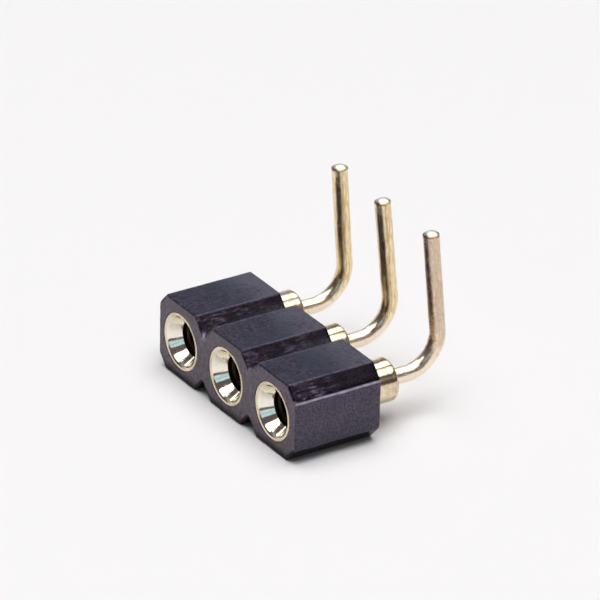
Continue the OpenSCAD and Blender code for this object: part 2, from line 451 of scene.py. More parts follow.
# %% Spring material
sheet, n = new_material("spring_sheet_painted_dark")
place = n.place()
rolling = n.noise(n.stretch(place, (1.0, 0.08, 1.0)), 12000, 3, 0.6)
stain = n.ramp(n.noise(place, 1800, 3, 0.6), 0.35, 0.7)
# Painted shade: both colours of the sheet are nearly black.
tint = n.blend(stain, (0.036, 0.024, 0.016), (0.018, 0.012, 0.009))
n.show(n.add("BsdfPrincipled", Base_Color=tint, Metallic=1.0,
             Roughness=n.ramp(stain, 0.0, 1.0, 0.34, 0.46), Normal=n.bump(rolling, 0.000002)))
print("spring sheet has", len(sheet.node_tree.nodes), "nodes")

# %% [markdown]
# ## The outline of one segment
#
# Seen from the front, a segment is a square with its four corners cut off: each cut is half of a
# snap notch. Bevelling a cube would give the same form, but the bevels would meet the cut ends and
# the notches in the wrong order. Here an outline is eight straight sides, and each corner is where
# two sides cross. Moving the sides inwards by an inset gives the outlines that round off the
# edges, and all of them stack into one grid.

# %% Sides of a segment
NOTCH_W, NOTCH_DEPTH = 0.92, 0.49
TRIM_LEFT, TRIM_RIGHT = 0.08, 0.01
LONG_EDGE_R, CUT_EDGE_R = 0.025, 0.035
SIDE_STEPS, SLOPE_STEPS, CUT_STEPS = 18, 12, 44
RIGHT_SIDE, TOP_SIDE, LEFT_SIDE, SLOPES = 2, 4, 6, (1, 3, 5, 7)  # places among the sides
CUT_INSET = 0.4  # a cut end's share of the inset


def sides_of(segment):
    """Normals, distances, inset shares, steps and corner radii of the eight sides.

    A side is the line where normal times point equals distance. They start below and turn
    left. A snap line, where the web goes on into the next segment, has no inset.
    """
    first, last = segment == 0, segment == POSITIONS - 1
    slope = np.array([NOTCH_W / 2, NOTCH_DEPTH])
    across, up = slope[::-1] / np.linalg.norm(slope)
    lean = (PITCH - NOTCH_W) / 2 * across
    right = PITCH / 2 - (TRIM_RIGHT if last else 0)
    left = PITCH / 2 - (TRIM_LEFT if first else 0)
    normal = np.array([(0, -1), (across, -up), (1, 0), (across, up), (0, 1), (-across, up),
                       (-1, 0), (-across, -up)])
    distance = np.array([0, lean, right, lean + BODY_H * up, BODY_H, lean + BODY_H * up,
                         left, lean])
    share = np.array([1, 1, CUT_INSET * last, 1, 1, 1, CUT_INSET * first, 1])
    steps = [SIDE_STEPS, SLOPE_STEPS] * 4
    steps[RIGHT_SIDE], steps[LEFT_SIDE] = (CUT_STEPS if end else SIDE_STEPS
                                           for end in (last, first))
    radius = np.array([LONG_EDGE_R, CUT_EDGE_R * last, CUT_EDGE_R * last, LONG_EDGE_R,
                       LONG_EDGE_R, CUT_EDGE_R * first, CUT_EDGE_R * first, LONG_EDGE_R])
    return normal, distance, share, steps, radius


print("the last segment's sides lie at", sides_of(POSITIONS - 1)[1].round(3))

# %% Outline of a segment
ARC_POINTS = 5
ARC_SHRINK, LEAST_ARC_R = 0.6, 0.01


def outline(segment, inset):
    """Points (x, z) round a segment for each inset, and the side that each column starts on.

    A corner is the crossing of two neighbouring sides. Where it has a radius, its points lie
    on an arc about corner - radius * (n1 + n2) / (1 + n1 . n2), from one normal to the next,
    and the radius shrinks with the inset. Between two corners the points are evenly spaced.
    """
    normal, distance, share, steps, radius = sides_of(segment)
    inset = np.atleast_1d(np.asarray(inset, float))
    after = np.roll(normal, -1, axis=0)
    moved = distance - inset[:, None] * share
    pairs = np.stack([moved, np.roll(moved, -1, axis=1)], axis=-1)
    inverse = np.linalg.inv(np.stack([normal, after], axis=1))
    corner = np.einsum("kij,skj->ski", inverse, pairs)
    start = np.arctan2(normal[:, 1], normal[:, 0])
    turn = (np.arctan2(after[:, 1], after[:, 0]) - start) % (2 * np.pi)
    arcs = []
    for k in range(len(normal)):
        if radius[k] > 0:
            r = np.maximum(radius[k] - inset * ARC_SHRINK, LEAST_ARC_R)[:, None]
            dot = normal[k] @ after[k]
            centre = corner[:, k] - r * (normal[k] + after[k]) / (1 + dot)
            angle = start[k] + turn[k] * np.linspace(0, 1, ARC_POINTS)
            ring = np.stack([np.cos(angle), np.sin(angle)], axis=-1)
            arcs.append(centre[:, None] + r[:, None] * ring)
        else:
            arcs.append(corner[:, k][:, None])
    columns, side = [], []
    for k in range(len(normal)):
        here, there = arcs[k - 1], arcs[k]
        t = (np.arange(1, steps[k]) / steps[k])[:, None]
        columns += [here, here[:, -1:] * (1 - t) + there[:, :1] * t]
        side += [-1] * (here.shape[1] - 1) + [k] * steps[k]
    return np.concatenate(columns, axis=1), np.array(side)


print("a middle segment's outline has", outline(1, 0)[0].shape[1], "points")

# %% [markdown]
# ## The housing
#
# A segment is one closed tube, like a thick ring: its grid runs from the step in the bore out to
# the mouth, across the front face, back along the outside, across the rear face and in along the
# narrow bore. A Boolean could drill a block, but it leaves long thin faces that shade badly next
# to a rounded edge. Between two segments the web is solid, so the cells there are left out and the
# edges are welded.

# %% Rows of a segment's grid
FACE_EDGE_R, MOUTH_R = 0.045, 0.02
PRESS_GAP = 0.01
HEAD_BORE_R, SHANK_BORE_R = HEAD_R + PRESS_GAP, SHANK_R + PRESS_GAP
STEP_Y = FRONT + HEAD_LEN
DEPTH_STEPS, FACE_STEPS, HEAD_BORE_STEPS, SHANK_BORE_STEPS = 44, 7, 5, 7


def ring_rows(unit, radius, y):
    """Rings of points of these radii at these depths, with the columns' directions."""
    radius, y = (np.atleast_1d(v)[:, None] for v in (radius, y))
    x, z = radius * unit[:, 0], AXIS_H + radius * unit[:, 1]
    return np.stack(np.broadcast_arrays(x, y, z), axis=-1)


def outline_rows(segment, inset, y):
    """Outlines with these insets at these depths."""
    x, z = np.moveaxis(outline(segment, inset)[0], -1, 0)
    return np.stack(np.broadcast_arrays(x, np.asarray(y, float)[:, None], z), axis=-1)


def between(start, end, steps):
    """The evenly spaced numbers between two others, without the two."""
    return np.linspace(start, end, steps + 1)[1:-1]


def face_rows(inner, outer):
    """Evenly spaced rows that cross a flat face."""
    t = between(0, 1, FACE_STEPS)[:, None, None]
    return inner * (1 - t) + outer * t


print("rows across a face:", between(0, 1, FACE_STEPS).round(2))

# %% Grid of a segment
def segment_grid(segment):
    """Points of a segment, its faces, and which points are on a notch or on the top.

    A rounding of radius r has an inset of r * (1 - sin(a)) where its depth is
    r * (1 - cos(a)), for angles a from 0 to 90 degrees.
    """
    flat, side = outline(segment, [0])
    spoke = flat[0] - [0, AXIS_H]
    unit = spoke / np.linalg.norm(spoke, axis=1, keepdims=True)
    a = np.linspace(0, np.pi / 2, 5)
    sunk, shallow = 1 - np.cos(a), 1 - np.sin(a)
    edge, lip = FACE_EDGE_R, MOUTH_R
    front_edge = outline_rows(segment, edge * shallow, FRONT + edge * sunk)
    rear_edge = outline_rows(segment, edge * sunk, BACK - edge * shallow)
    depths = between(FRONT + edge, BACK - edge, DEPTH_STEPS)
    mouth = ring_rows(unit, HEAD_BORE_R + lip * sunk, FRONT + lip * shallow)
    rear_mouth = ring_rows(unit, SHANK_BORE_R + lip * shallow, BACK - lip * sunk)
    head_bore = between(STEP_Y, FRONT + lip, HEAD_BORE_STEPS)
    shank_bore = between(BACK - lip, STEP_Y, SHANK_BORE_STEPS)
    bore_in = [ring_rows(unit, [SHANK_BORE_R, HEAD_BORE_R], STEP_Y),
               ring_rows(unit, HEAD_BORE_R, head_bore), mouth,
               face_rows(mouth[-1:], front_edge[:1])]
    outside = [front_edge, outline_rows(segment, np.zeros(len(depths)), depths), rear_edge]
    bore_out = [face_rows(rear_edge[-1:], rear_mouth[:1]), rear_mouth,
                ring_rows(unit, SHANK_BORE_R, shank_bore)]
    grid = np.concatenate(bore_in + outside + bore_out) + [contact_x[segment], 0, 0]
    first = sum(len(block) for block in bore_in)
    last = first + sum(len(block) for block in outside)
    faces = grid_faces(len(grid), grid.shape[1], wrap_rows=True)
    ends = ((RIGHT_SIDE, POSITIONS - 1), (LEFT_SIDE, 0))
    web = [k for k, end in ends if segment != end]
    keep = np.ones(faces.shape[:2], bool)
    keep[np.ix_(np.arange(first, last - 1), np.isin(side, web))] = False
    marks = np.zeros((2,) + grid.shape[:2])
    marks[0, first:last] = np.isin(side, SLOPES)
    marks[1, first:last] = side == TOP_SIDE
    return grid.reshape(-1, 3), faces[keep], marks.reshape(2, -1)


points, faces, marks = [], [], []
for segment in range(POSITIONS):
    grid, cells, zones = segment_grid(segment)
    faces.append(cells + sum(len(block) for block in points))
    points.append(grid)
    marks.append(zones)
points, faces, kept = weld(np.concatenate(points), np.concatenate(faces))
notch, dust_and_sheen = np.concatenate(marks, axis=1)[:, kept]
edges = np.sort(np.concatenate([faces[:, [k, (k + 1) % 4]] for k in range(4)]), axis=1)
_, uses = np.unique(edges, axis=0, return_counts=True)
print("housing edges that don't join two faces:", int((uses != 2).sum()))

# %% [markdown]
# ## Where dust lies and where the plastic is bruised
#
# Dust, with a painted sheen, lies on the tops, and at the bottom of the notches towards the back.
# A painted highlight runs along the top edge of each cut end, where that edge catches the light,
# and a painted glint marks the front of each notch. These marks could be painted on a texture, but
# as numbers on the points they follow the sizes of the part.

# %% Dust, painted sheen and painted highlights
LEFT_CUT = -POSITIONS * PITCH / 2 + TRIM_LEFT
RIGHT_CUT = POSITIONS * PITCH / 2 - TRIM_RIGHT
RIM_Z = BODY_H - NOTCH_DEPTH
VALLEY_H, VALLEY_REACH = 0.3, 2.4
EDGE_HIGHLIGHT_TOP, EDGE_HIGHLIGHT_H = 0.004, 0.034
GLINT_W, GLINT_LEN, GLINT_H = 0.07, 0.12, 0.6
LEFT_SHARE = 0.4  # the hidden end's cut gets less painted highlight, and its notch the stronger painted glint


def fall(distance, reach, start=1.0):
    """A number that falls from its start by 1 for each reach, kept between 0 and 1."""
    return np.clip(start - distance / reach, 0, 1)


x, y, z = points.T
on_right = x > 0
valley = fall(z - BODY_H + NOTCH_DEPTH, VALLEY_H) * (z > AXIS_H)
# Dust, and the painted sheen with it, also lies at the bottom of the notches towards the back.
dust_and_sheen_layer = notch * valley * (np.abs(x) < VALLEY_REACH) * np.clip((y + 0.9) / 0.8, 0, 1)
dust_and_sheen = np.maximum(dust_and_sheen, dust_and_sheen_layer)
on_cut = np.minimum(x - LEFT_CUT, RIGHT_CUT - x) < CUT_EDGE_R + 1e-3
# Painted highlight along the top edge of each cut end, fading downwards and broken up.
painted_edge_highlight = on_cut * fall(RIM_Z - z - EDGE_HIGHLIGHT_TOP, EDGE_HIGHLIGHT_H)
painted_edge_highlight *= np.where(on_right, 1.0, LEFT_SHARE)
painted_edge_highlight *= np.clip(0.85 + 0.35 * ripple(points, 1.3, 9), 0, 1)
# Painted glint at the front of each notch, where the notch meets the front face.
painted_glint = fall(np.abs(np.abs(x) - PITCH / 2), GLINT_W, 1.4) * fall(y - FRONT, GLINT_LEN, 1.3)
painted_glint *= np.where(x < 0, 1.0, LEFT_SHARE)
painted_edge_highlight = np.maximum(painted_edge_highlight, painted_glint * (z > AXIS_H) * (z > BODY_H - GLINT_H))
print("bruised points:", int((painted_edge_highlight > 0).sum()))

# %% [markdown]
# ## Uneven faces and cut ends
#
# Moulded faces shrink as they cool, so they wave by a few thousandths of a millimetre. The cut
# ends get a deeper, finer dent, which only goes inwards, because the saw takes plastic away. The
# bores stay true: a contact is pressed into each. At the end every point is kept inside the
# model's box.

# %% Uneven housing
FACE_WAVE, CUT_DENT, CUT_GRAIN, CUT_REACH = 0.0035, 0.014, 0.006, 0.12

nearest = contact_x[np.abs(points[:, :1] - contact_x).argmin(axis=1)]
from_axis = points[:, [0, 2]] - np.stack([nearest, np.full(len(points), AXIS_H)], axis=1)
outer = np.linalg.norm(from_axis, axis=1) > HEAD_BORE_R + 0.05
wave = np.stack([ripple(points, 1.1, seed) for seed in (11, 12, 13)], axis=1)
points = points + outer[:, None] * FACE_WAVE * wave
dent = CUT_DENT * (1.1 + ripple(points, 0.9, 21)) + CUT_GRAIN * (1 + ripple(points, 0.22, 22))
x = points[:, 0]
near_cut = fall(np.minimum(x - LEFT_CUT, RIGHT_CUT - x), CUT_REACH) ** 2
points[:, 0] += outer * near_cut * dent * np.sign(-x)
box_low, box_high = (np.array([v / MM for v in c]) for c in (cad_low, cad_high))
points = np.clip(points, [box_low[0], FRONT, 0], [box_high[0], BACK, BODY_H])
housing = new_piece("housing_skin", points, faces, "housing", plastic, 28)
for name, values in (("cut", on_cut), ("notch", notch), ("painted_edge_highlight", painted_edge_highlight), ("dust_and_sheen", dust_and_sheen)):
    set_attribute(housing, name, values)

# %% [markdown]
# ## The profile of a turned sleeve
#
# A sleeve is lathe work, so it is described as a turner would: by the corners of half its section,
# each with a small rounding. The path starts at the drill point inside, comes forward to the
# funnel, goes round the rim, back along the head and the shank, and out to the tail. A Screw
# modifier would turn such a profile too, but not one whose axis bends afterwards.

# %% Softened profiles
def soften(corners, longest):
    """A path through (along, radius, rounding) corners, with its corners rounded.

    A rounding is an arc about the point on the corner's halving line at rounding / sin(h)
    from it, where h is half of the angle between the sides. No step is longer than the last
    argument.
    """
    p = np.array([c[:2] for c in corners], float)
    path = [p[:1]]
    for k in range(1, len(p)):
        rounding, arc = corners[k][2], p[k:k + 1]
        if k < len(p) - 1 and rounding > 0:
            before = (p[k - 1] - p[k]) / np.linalg.norm(p[k - 1] - p[k])
            after = (p[k + 1] - p[k]) / np.linalg.norm(p[k + 1] - p[k])
            half = math.acos(np.clip(before @ after, -1, 1)) / 2
            middle = (before + after) / np.linalg.norm(before + after)
            centre = p[k] + middle * rounding / math.sin(half)
            start = p[k] + before * rounding / math.tan(half) - centre
            end = p[k] + after * rounding / math.tan(half) - centre
            t = np.linspace(0, 1, 5)[:, None]
            arc = start * (1 - t) + end * t
            arc = centre + arc / np.linalg.norm(arc, axis=1, keepdims=True) * rounding
        gap = np.linalg.norm(arc[0] - path[-1][-1])
        steps = max(1, math.ceil(gap / longest))
        t = (np.arange(1, steps) / steps)[:, None]
        path += [path[-1][-1] * (1 - t) + arc[0] * t, arc]
    return np.concatenate(path)


print("a rounded right angle:", soften([(0, 0, 0), (1, 0, 0.2), (1, 1, 0)], 1).round(2).tolist())

# %% Profile of a sleeve
SHANK_PROUD = 1.09
SLEEVE_LEN = BODY_DEPTH + SHANK_PROUD
RIM_W, LIP_R, FUNNEL_DEPTH, THROAT_R = 0.1, 0.1, 0.44, 0.58
SEAT_DEPTH, CLIP_BORE_R, DRILL_DEPTH, DRILL_TIP = 0.62, 0.53, 3.4715, 3.79
SHANK_END_R, TAIL_ROOT_R, TAIL_R, ROOT_LEN = 0.12, 0.05, 0.25, 0.12
RING_STEP = 0.08

sleeve_profile = soften([
    (DRILL_TIP, 0.0, 0), (DRILL_DEPTH, CLIP_BORE_R, 0.02), (SEAT_DEPTH, CLIP_BORE_R, 0.015),
    (SEAT_DEPTH, THROAT_R, 0.01), (FUNNEL_DEPTH, THROAT_R, 0.025),
    (0.0, HEAD_R - RIM_W, LIP_R), (0.0, HEAD_R, 0.02), (HEAD_LEN, HEAD_R, 0.03),
    (HEAD_LEN, SHANK_R, 0.02), (SLEEVE_LEN, SHANK_R, SHANK_END_R),
    (SLEEVE_LEN, TAIL_R, TAIL_ROOT_R), (SLEEVE_LEN + ROOT_LEN, TAIL_R, 0),
], RING_STEP)
print("sleeve profile:", len(sleeve_profile), "rings")

# %% [markdown]
# ## The line of the tail
#
# The tail runs straight back, turns up on an arc, and stands a few degrees past upright, each of
# the three by its own amount. A curve object with a round bevel would be quicker, but the sleeve
# and its tail are one piece of metal. So they are one surface, of rings that stand square to this
# line, each with its own radius.

# %% Line of the tail
TAIL_REACH, TAIL_H, BEND_R = 2.94, 4.55, 1.1
TAIL_LEAN = (4.9, 6.6, 6.2)
RUN_START = SLEEVE_LEN + 0.16
END_ROUND = 0.09
RUN_RINGS, BEND_RINGS, UPRIGHT_RINGS = 5, 40, 60


def tail_line(lean):
    """Distance along, height above the axis and slope angle of the tail's rings.

    The arc turns through 90 degrees and the lean, about a point one bend radius above the
    run. Run and upright would cross at bend radius * tan(half the turn) from its ends.
    """
    turn = math.radians(90 + lean)
    tangent = BEND_R * math.tan(turn / 2)
    run_end = BODY_DEPTH + TAIL_REACH - tangent
    y = [np.linspace(RUN_START, run_end, RUN_RINGS)]
    z, slope = [np.zeros(RUN_RINGS)], [np.zeros(RUN_RINGS)]
    a = np.linspace(0, turn, BEND_RINGS)[1:]
    y.append(run_end + BEND_R * np.sin(a))
    z.append(BEND_R * (1 - np.cos(a)))
    slope.append(a)
    t = np.linspace(0, TAIL_H - tangent - END_ROUND, UPRIGHT_RINGS)[1:]
    y.append(y[-1][-1] + t * math.cos(turn))
    z.append(z[-1][-1] + t * math.sin(turn))
    slope.append(np.full(len(t), turn))
    return [np.concatenate(block) for block in (y, z, slope)]


print("rises of the tails:", *(tail_line(lean)[1][-1].round(3) for lean in TAIL_LEAN))

# %% [markdown]
# ## All the rings of a contact
#
# A contact is three stretches of rings: the sleeve, the wire, and the domed cap at its end. Listed
# together, as plain arrays of middles, radii and tilts, they can all be placed by one formula. The
# funnel's wall is bowed by five thousandths of a millimetre, as a form tool leaves it, so that it
# shows bands of light.

# %% Rings of a contact
SLEEVE, WIRE, CAP = 0, 1, 2
BOW = 0.005
CAP_SHAPE = np.array([(1.0, 0.06), (1.02, 0.14), (0.99, 0.26), (0.88, 0.46), (0.7, 0.68),
                      (0.48, 0.86), (0.24, 0.97)])  # shares of the radius and of the height


def contact_rings(number):
    """Middle, radius, tilt and stretch of each ring, and the way that the wire ends.

    The funnel is widened by BOW * 4 * d * (1 - d), where d runs from 0 at the mouth to 1 at
    the throat.
    """
    y, z, slope = tail_line(TAIL_LEAN[number])
    ahead = np.array([math.cos(slope[-1]), math.sin(slope[-1])])
    sleeve, cap = sleeve_profile[1:], CAP_SHAPE * [TAIL_R, END_ROUND]
    stretch = np.repeat([SLEEVE, WIRE, CAP], [len(sleeve), len(y), len(cap)])
    radius = np.concatenate([sleeve[:, 1], np.full(len(y), TAIL_R), cap[:, 0]])
    tilt = np.concatenate([np.zeros(len(sleeve)), slope, np.full(len(cap), slope[-1])])
    middle = np.zeros((len(radius), 3))
    middle[stretch == SLEEVE, 1] = sleeve[:, 0]
    middle[stretch != SLEEVE, 1:] = np.concatenate(
        [np.stack([y, z], axis=1), [y[-1], z[-1]] + cap[:, 1:] * ahead])
    depth = middle[:, 1] / FUNNEL_DEPTH
    in_funnel = (stretch == SLEEVE) & (depth > 0.02) & (depth < 0.98) & (
        np.cumsum(radius >= HEAD_R - 0.001) == 0)
    radius = radius + np.where(in_funnel, BOW * 4 * depth * (1 - depth), 0)
    return middle, radius, tilt, stretch, ahead


print("a contact has", len(contact_rings(0)[1]), "rings")

# %% [markdown]
# ## Wavering wire and its sheared end
#
# Drawn wire is never quite round or straight, so its radius wanders by a couple of thousandths of
# a millimetre, and a little more in the bend. Shears leave its end aslant, roll the edge down on
# one side, and raise a burr. Most of this is too small to see as shape, but it breaks up the
# reflections.

# %% Unevenness of the wire
BURR = 0.011
SHEAR_SLANT, SHEAR_WAY = 0.03, math.radians(-34)
ROLL_DROP, ROLL_WAY = 0.05, math.radians(128)


def wire_waver(tube, radius, tilt, stretch, number):
    """How far each point stands off a true tube in millimetres, and the burr by itself.

    It is a sum of waves along the wire, finer ones round it, stronger ones in the bend, and
    the burr on the cap, which fades towards the middle of the end.
    """
    in_bend = np.clip(np.minimum(tilt, tilt[-1] - tilt) / 0.35, 0, 1)
    waver = 0.0016 * ripple(tube, 0.55, 31 + number)
    waver += 0.0008 * ripple(tube * [3, 3, 1], 0.9, 41 + number)
    waver += 0.0022 * in_bend[:, None] * ripple(tube * [1.6, 1.6, 1], 0.34, 51 + number)
    burr = BURR * ripple(tube * [1.5, 1.5, 0], 0.42, 61 + number)
    waver += ((stretch == CAP) * radius / TAIL_R)[:, None] * burr
    return waver, burr


def shear_drop(angle, radius, stretch, burr):
    """How far the points of the cut end lie back along the wire, in millimetres.

    The slant grows from one side of the end to the other, and the roll grows with the square
    of the distance from its middle, on one side only.
    """
    share = (radius / TAIL_R)[:, None]
    slant = np.cos(angle - SHEAR_WAY)[None, :] * share
    roll = np.clip(np.cos(angle - ROLL_WAY), 0, 1)[None, :] ** 1.5
    drop = SHEAR_SLANT * (1 + slant) / 2 + 0.5 * burr * share + ROLL_DROP * roll * share ** 2
    return (stretch == CAP)[:, None] * drop


print("the deepest roll of a cut end is", ROLL_DROP, "mm")

# %% [markdown]
# ## Zones of the finish
#
# The gold changes where the tools and the shears have been, and the bore is painted with shade.
# Each zone is a number on every ring, and on the two points that close the surface. It comes from
# the same arrays as the shape, so it can't slip out of place.

# %% Zones of a contact
RIM_END = 0.03


def contact_zones(middle, radius, tilt, stretch):
    """Each zone's number on every ring, then its numbers at the drill point and at the tip."""
    before_rim = np.cumsum(radius >= HEAD_R - RIM_W + 0.003) == 0
    on_sleeve, on_cap, y = stretch == SLEEVE, stretch == CAP, middle[:, 1]
    inside = on_sleeve & before_rim
    run = (stretch != SLEEVE) * np.clip((1.25 - tilt) / 0.55, 0, 1)
    return {
        "wire": (stretch != SLEEVE, 0, 1),
        "mouth": (inside & (y < FUNNEL_DEPTH), 0, 0),
        "rim": (on_sleeve & ~before_rim & (y < RIM_END), 0, 0),
        # deep: the bore behind the funnel, where shade is painted.
        "deep": (inside & (y >= FUNNEL_DEPTH), 1, 0),
        "run": (run, 0, 0),
        "end": (on_cap, 0, 1),
        "bare": (on_cap * np.clip((radius / TAIL_R - 0.6) / 0.25, 0, 1), 0, 0),
    }


print("zones:", *contact_zones(*contact_rings(0)[:4]))

# %% [markdown]
# ## The turned sleeves and their tails
#
# Now the rings become a surface. A ring's points are set round its middle, square to the line, and
# a fan of triangles closes each end. The three contacts differ in their lean and in their
# unevenness.

# %% Contact surface
RING_POINTS = 96


def contact_surface(number):
    """Points, faces, wrap vectors and zones of one sleeve with its tail.

    A ring's point is middle + radius * (cos(angle) * X + sin(angle) * up), where up is Z
    turned with the slope of the tail.
    """
    middle, radius, tilt, stretch, ahead = contact_rings(number)
    step = np.linalg.norm(np.diff(np.column_stack([middle[:, 1:], radius]), axis=0), axis=1)
    along = np.concatenate([[0], np.cumsum(step)])
    angle = np.arange(RING_POINTS) * 2 * np.pi / RING_POINTS
    wrap = np.stack(np.broadcast_arrays(np.cos(angle), np.sin(angle), along[:, None]), axis=-1)
    waver, burr = wire_waver(wrap * [0.35, 0.35, 1.0], radius, tilt, stretch, number)
    grown = radius[:, None] + (stretch != SLEEVE)[:, None] * (waver - 0.003)
    up = np.stack([np.zeros_like(tilt), -np.sin(tilt), np.cos(tilt)], axis=-1)
    points = middle[:, None] + grown[..., None] * (
        np.cos(angle)[None, :, None] * np.array([1.0, 0, 0])
        + np.sin(angle)[None, :, None] * up[:, None])
    points[..., 1:] -= shear_drop(angle, radius, stretch, burr)[..., None] * ahead
    rows, columns = points.shape[:2]
    first, last, end = rows * columns, rows * columns + 1, (rows - 1) * columns
    c = np.arange(columns)
    after = (c + 1) % columns
    faces = grid_faces(rows, columns).reshape(-1, 4).tolist()
    faces += np.stack([np.full(columns, first), c, after], axis=1).tolist()
    faces += np.stack([end + c, np.full(columns, last), end + after], axis=1).tolist()
    top = middle[-1] - np.array([0, *ahead]) * SHEAR_SLANT / 2
    poles = np.array([[0, sleeve_profile[0, 0], 0], top])
    points = np.concatenate([points.reshape(-1, 3), poles])
    wrap = np.concatenate([wrap.reshape(-1, 3), [[0, 0, 0], [0, 0, along[-1]]]])
    zones = {name: np.concatenate([np.repeat(np.asarray(row, float), columns), at_poles])
             for name, (row, *at_poles) in contact_zones(middle, radius, tilt, stretch).items()}
    return points + [contact_x[number], FRONT, AXIS_H], faces, wrap, zones


for number in range(POSITIONS):
    points, faces, wrap, zones = contact_surface(number)
    points = np.clip(points, box_low, box_high)
    name = f"contact_{number + 1}"
    piece = new_piece(f"{name}_skin", points, faces, name, gold, 40)
    set_attribute(piece, "wrap", wrap, "FLOAT_VECTOR")
    for zone, values in zones.items():
        set_attribute(piece, zone, values)

# %% [markdown]
# ## The four-finger springs
#
# A spring is one stamped strip, rolled into a barrel with a flange, whose four fingers close
# towards the axis. Cutting slots with a Boolean would leave ragged edges on so thin a sheet.
# Instead, the columns that cross a slot are left out behind the barrel, and the others squeezed
# together, so that the slot keeps one width. A Solidify modifier gives the sheet its thickness.

# %% Spring surface
CLIP_T, CLIP_GAP, BARREL_LEN, FINGER_LEN = 0.07, 0.01, 0.5, 1.3
GRIP_LEN, GRIP_R, TIP_LEN, TIP_FLARE = 0.3, 0.19, 0.12, 0.06
FINGERS, SLOT_W, FINGER_POINTS = 4, 0.12, 13
BARREL_END = SEAT_DEPTH + BARREL_LEN


def spring_surface(number):
    """Points and faces of the outer face of a spring.

    Column j of finger k stands at the finger's middle angle plus a share, from -1 to 1, of
    half its width: half of its part of the circle, less the angle whose sine is half the slot
    over the radius.
    """
    flange_y, barrel_r = SEAT_DEPTH - 0.005, CLIP_BORE_R - CLIP_GAP
    grip, grip_end = BARREL_END + FINGER_LEN, BARREL_END + FINGER_LEN + GRIP_LEN
    outer = soften([
        (flange_y, THROAT_R - CLIP_GAP, 0), (flange_y, barrel_r, 0.03),
        (BARREL_END, barrel_r, 0.3), (grip, GRIP_R + CLIP_T, 0.3),
        (grip_end, GRIP_R + CLIP_T, 0.15), (grip_end + TIP_LEN, GRIP_R + CLIP_T + TIP_FLARE, 0),
    ], 0.06)
    along, radius = outer[:, 0], outer[:, 1]
    half = np.pi / FINGERS - np.arcsin(SLOT_W / 2 / radius)
    share = np.linspace(-1, 1, FINGER_POINTS)
    middle = np.arange(FINGERS) * 2 * np.pi / FINGERS
    angle = (middle[None, :, None] + half[:, None, None] * share).reshape(len(radius), -1)
    points = np.stack([
        contact_x[number] + radius[:, None] * np.cos(angle),
        FRONT + np.broadcast_to(along[:, None], angle.shape),
        AXIS_H + radius[:, None] * np.sin(angle)
    ], axis=-1)
    in_slot = np.arange(angle.shape[1]) % FINGER_POINTS == FINGER_POINTS - 1
    behind = along[1:] > BARREL_END + 1e-6
    cells = grid_faces(*angle.shape)
    return points.reshape(-1, 3), cells[~(behind[:, None] & in_slot[None, :])]


for number in range(POSITIONS):
    points, faces = spring_surface(number)
    name = f"clip_{number + 1}"
    piece = new_piece(f"{name}_skin", points, faces, name, sheet, 40)
    wall = piece.modifiers.new("sheet thickness", "SOLIDIFY")
    wall.thickness = (CLIP_T - CLIP_GAP) * MM
    wall.offset = -1
    wall.use_even_offset = True

# %% [markdown]
# ## The floor
#
# The part stands on white paper, whose colour is set so that it comes out just short of full
# white. A bare white background would catch no shadow, and it would throw no light back up.

# %% Floor
FLOOR_HALF, FLOOR_Z = 3.0, -0.00001


def stage_object(name, points, faces, material):
    """A thing of the set, from a grid of points in metres. It isn't a piece of the part."""
    points, faces = np.reshape(points, (-1, 3)), np.reshape(faces, (-1, 4))
    thing = new_object(name, points, faces, material)
    return thing


paper, n = new_material("white_paper")
n.show(n.add("BsdfDiffuse", Color=(0.9, 0.886, 0.892)))
corners = np.array([(-1, -1, 0), (1, -1, 0), (1, 1, 0), (-1, 1, 0)]) * FLOOR_HALF
stage_object("floor", corners + [0, 0, FLOOR_Z], [0, 1, 2, 3], paper)
print("floor is", 2 * FLOOR_HALF, "m across")

# %% [markdown]
# ## The room's light
#
# The world lights everything evenly, so that the shadows don't go black. That needs only a weak
# light, while the camera and the reflections should see white. The light path tells the two
# apart, so one world does both.

# %% World
world = bpy.data.worlds.new("pale room")
bpy.context.scene.world = world
world.use_nodes = True
n = Nodes(world.node_tree)
path = n.add("LightPath").outputs
seen = n.plus(path["Is Camera Ray"], path["Is Glossy Ray"], path["Is Transmission Ray"],
              clamp=True)
fill = n.add("Background", Color=(0.98, 0.98, 1.0), Strength=0.16)
back = n.add("Background", Color=(1.0, 1.0, 1.0), Strength=1.0)
n.show(n.add("MixShader", _0=seen, _1=fill.outputs[0], _2=back.outputs[0]), "OutputWorld")
print("world has", len(world.node_tree.nodes), "nodes")

# %% [markdown]
# ## One large soft lamp
#
# A square lamp overhead gives the floor its soft shadow. Its own reflection is switched off:
# cards that only reflections see stand in for it, so that the highlights can be shaped without
# moving the shadow.

# %% Lamp
CAMERA_AZIMUTH, CAMERA_ELEVATION = 56.45, 27.3
LAMP_AT, LAMP_SIZE, LAMP_RADIANCE = (0.025, -0.015, 0.35), 0.34, 3.95

data = bpy.data.lights.new("overhead softbox", "AREA")
data.shape, data.size = "SQUARE", LAMP_SIZE
data.energy = math.pi * LAMP_SIZE * LAMP_SIZE * LAMP_RADIANCE
lamp = bpy.data.objects.new("overhead softbox", data)
lamp.location, lamp.rotation_euler = LAMP_AT, (0, 0, math.radians(CAMERA_AZIMUTH))
lamp.visible_glossy = False
bpy.context.scene.collection.objects.link(lamp)
print("lamp power:", round(data.energy, 3), "W")

# %% [markdown]
# ## A dark room for the reflections
#
# Polished metal has no look of its own: it shows what stands round it. In an all-white room the
# sleeves would be flat and pale, so a dome that only reflections see stands round the part. It is
# dark grey, paler behind the part and on a patch to the right, and stops short of the floor. An
# image of a real room can't be tuned like that.

# %% Dome
DOME_R, DOME_RINGS, DOME_SPOKES = 1.2, 24, 48
DOME_LOW, DOME_HIGH = 4.0, 89.5


